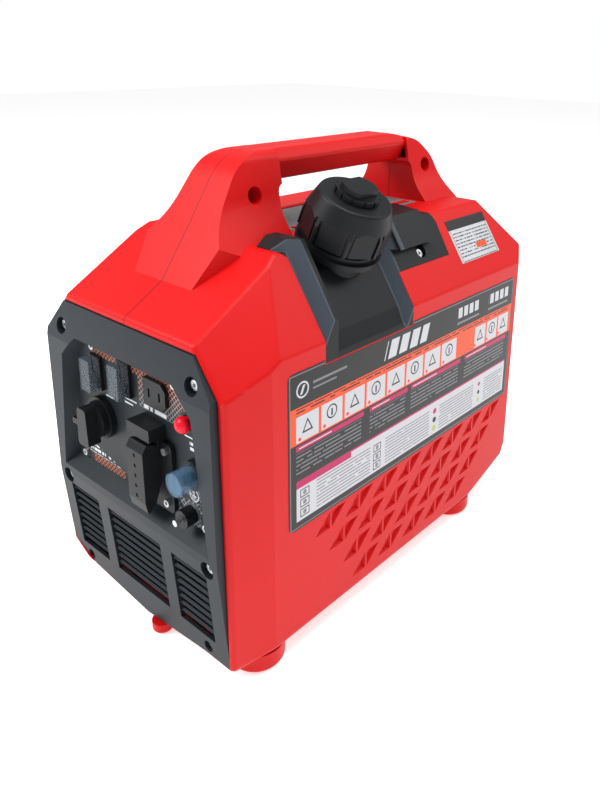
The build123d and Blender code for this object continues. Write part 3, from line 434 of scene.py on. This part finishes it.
coats = {
    "red_shell": red, "panel_black": panelBlack, "black_plastic": smoothBlack,
    "grey_inlay": inlayGrey, "clear_plastic": clear, "boot_rubber": boot, "rubber": rubber,
    "button_red": buttonRed, "side_film": smoothBlack, "plate_film": aluminium, "steel": steel,
    "dark_steel": darkSteel, "aluminium": aluminium, "cast_iron": castIron, "copper": copper,
    "cord": cordBlack, "foot_red": red,
}
for entry in frame["record"]["subparts"]:
    node = frame["nodes"][entry["node"]]
    node.data.materials.clear()
    node.data.materials.append(coats[entry["material_slot"]].material)
special = {
    "left_shell": seamedShell(), "top_inlay": deckInlay(), "filler_trim": fillerSurround(),
    "side_label": sideFilm(), "control_plate": controlPrints(), "rating_label": ratingFilm(),
}
special["right_shell"] = special["left_shell"]
for name, paint in special.items():
    frame["nodes"][name].data.materials[0] = paint.material
print("finishes on the CAD pieces")

rope = {"radius": 0.0020, "bend": 0.016, "fill": 0.96, "knotted": 0.004}


def starterRope():
    low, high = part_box("starter_rope")
    x = (low[0] + high[0]) / 2
    front, back, top, foot = low[1], high[1] - rope["radius"], high[2] - rope["radius"], low[2]
    turn = rope["bend"]
    points = [(x, front, top), (x, (front + back - turn) / 2, top), (x, back - turn, top)]
    points += [(x, back, top - turn), (x, back, (top - turn + foot) / 2), (x, back, foot)]
    bpy.ops.curve.primitive_bezier_curve_add(location=(0, 0, 0))
    cord = bpy.context.object
    cord.name = "braidedRope"
    line = cord.data.splines[0].bezier_points
    line.add(len(points) - 2)
    for knot, point in zip(line, points):
        knot.co = point
        knot.handle_left_type = knot.handle_right_type = "AUTO"
    cord.data.bevel_depth, cord.data.bevel_resolution = rope["radius"] * rope["fill"], 3
    cord.data.resolution_u, cord.data.use_fill_caps = 14, True
    bpy.ops.object.convert(target="MESH")
    cord = bpy.context.object
    cord.data.materials.append(braid.material)
    bpy.ops.object.shade_smooth()
    cord.select_set(False)
    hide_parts("starter_rope")
    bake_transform(cord)


braid = Paint("braidedCord", Roughness=0.8)
bx, by, bz = braid.axes()
weave = ((by + bz) * 5200).sine() * ((by - bz + bx * 2) * 5200).sine()
braid.set(Base_Color=braid.mix(weave * 0.5 + 0.5, (0.010, 0.010, 0.012), (0.055, 0.055, 0.060)))
braid.bump(weave, 0.0002, 0.8)
starterRope()
print("starter rope braided")

view = {"eye": (0.4619, -0.4845, 0.4718), "yaw": 40.2, "pitch": -17.2, "roll": 1.0, "lens": 33.61,
        "shift": (-0.0651, -0.158)}
yaw, pitch, roll = (math.radians(view[k]) for k in ("yaw", "pitch", "roll"))
ahead = Vector((-math.sin(yaw) * math.cos(pitch), math.cos(yaw) * math.cos(pitch), math.sin(pitch)))
side = Vector((math.cos(yaw), math.sin(yaw), 0))
top = side.cross(ahead)
across = side * math.cos(roll) + top * math.sin(roll)
upward = top * math.cos(roll) - side * math.sin(roll)
camera = bpy.data.objects.new("camera", bpy.data.cameras.new("camera"))
camera.data.lens, camera.data.shift_x, camera.data.shift_y = view["lens"], *view["shift"]
turn = Matrix((across, upward, -ahead)).transposed().to_4x4()
camera.matrix_world = Matrix.Translation(view["eye"]) @ turn
bpy.context.scene.collection.objects.link(camera)
bpy.context.scene.camera = camera
bpy.context.scene.view_settings.view_transform = "Standard"

studio = {"floor": 12, "fill": 0.42, "glow": 0.55}
bpy.ops.mesh.primitive_plane_add(size=studio["floor"], location=(0, 0, -0.0004))
floor = bpy.context.object
floor.name = "floor"
paper = Paint("paper", Roughness=0.9, Emission_Color=(1, 1, 1, 1), Emission_Strength=studio["glow"])
paper.set(Base_Color=paper.mix(paper.noise(3), (0.93, 0.93, 0.93), (0.96, 0.96, 0.96)))
floor.data.materials.append(paper.material)

lamps = [
    ("key", (-1.0, -1.5, 1.7), 1.1, 44, (0, -0.05, 0.2)),
    ("fill", (1.6, -1.1, 0.9), 1.4, 3, (0, 0, 0.2)),
    ("overhead", (0.3, 0.1, 1.9), 1.2, 26, (0, 0, 0.2)),
    ("rear", (1.1, 1.2, 1.3), 0.9, 8, (0, 0, 0.25)),
]
for name, place, size, power, aim in lamps:
    lamp = bpy.data.objects.new(name, bpy.data.lights.new(name, "AREA"))
    lamp.data.size, lamp.data.energy = size, power
    lamp.location = place
    lamp.rotation_euler = (Vector(aim) - Vector(place)).to_track_quat("-Z", "Y").to_euler()
    bpy.context.scene.collection.objects.link(lamp)
world = bpy.data.worlds.new("studio")
bpy.context.scene.world = world
world.use_nodes = True
world.node_tree.nodes["Background"].inputs[0].default_value = (1, 1, 1, 1)
world.node_tree.nodes["Background"].inputs[1].default_value = studio["fill"]
bright = world.node_tree.nodes.new("ShaderNodeBackground")
bright.inputs[0].default_value = (1, 1, 1, 1)
chooser = world.node_tree.nodes.new("ShaderNodeMixShader")
ray = world.node_tree.nodes.new("ShaderNodeLightPath")
join = world.node_tree.links.new
join(ray.outputs["Is Camera Ray"], chooser.inputs[0])
join(world.node_tree.nodes["Background"].outputs[0], chooser.inputs[1])
join(bright.outputs[0], chooser.inputs[2])
join(chooser.outputs[0], world.node_tree.nodes["World Output"].inputs[0])
print("studio ready")
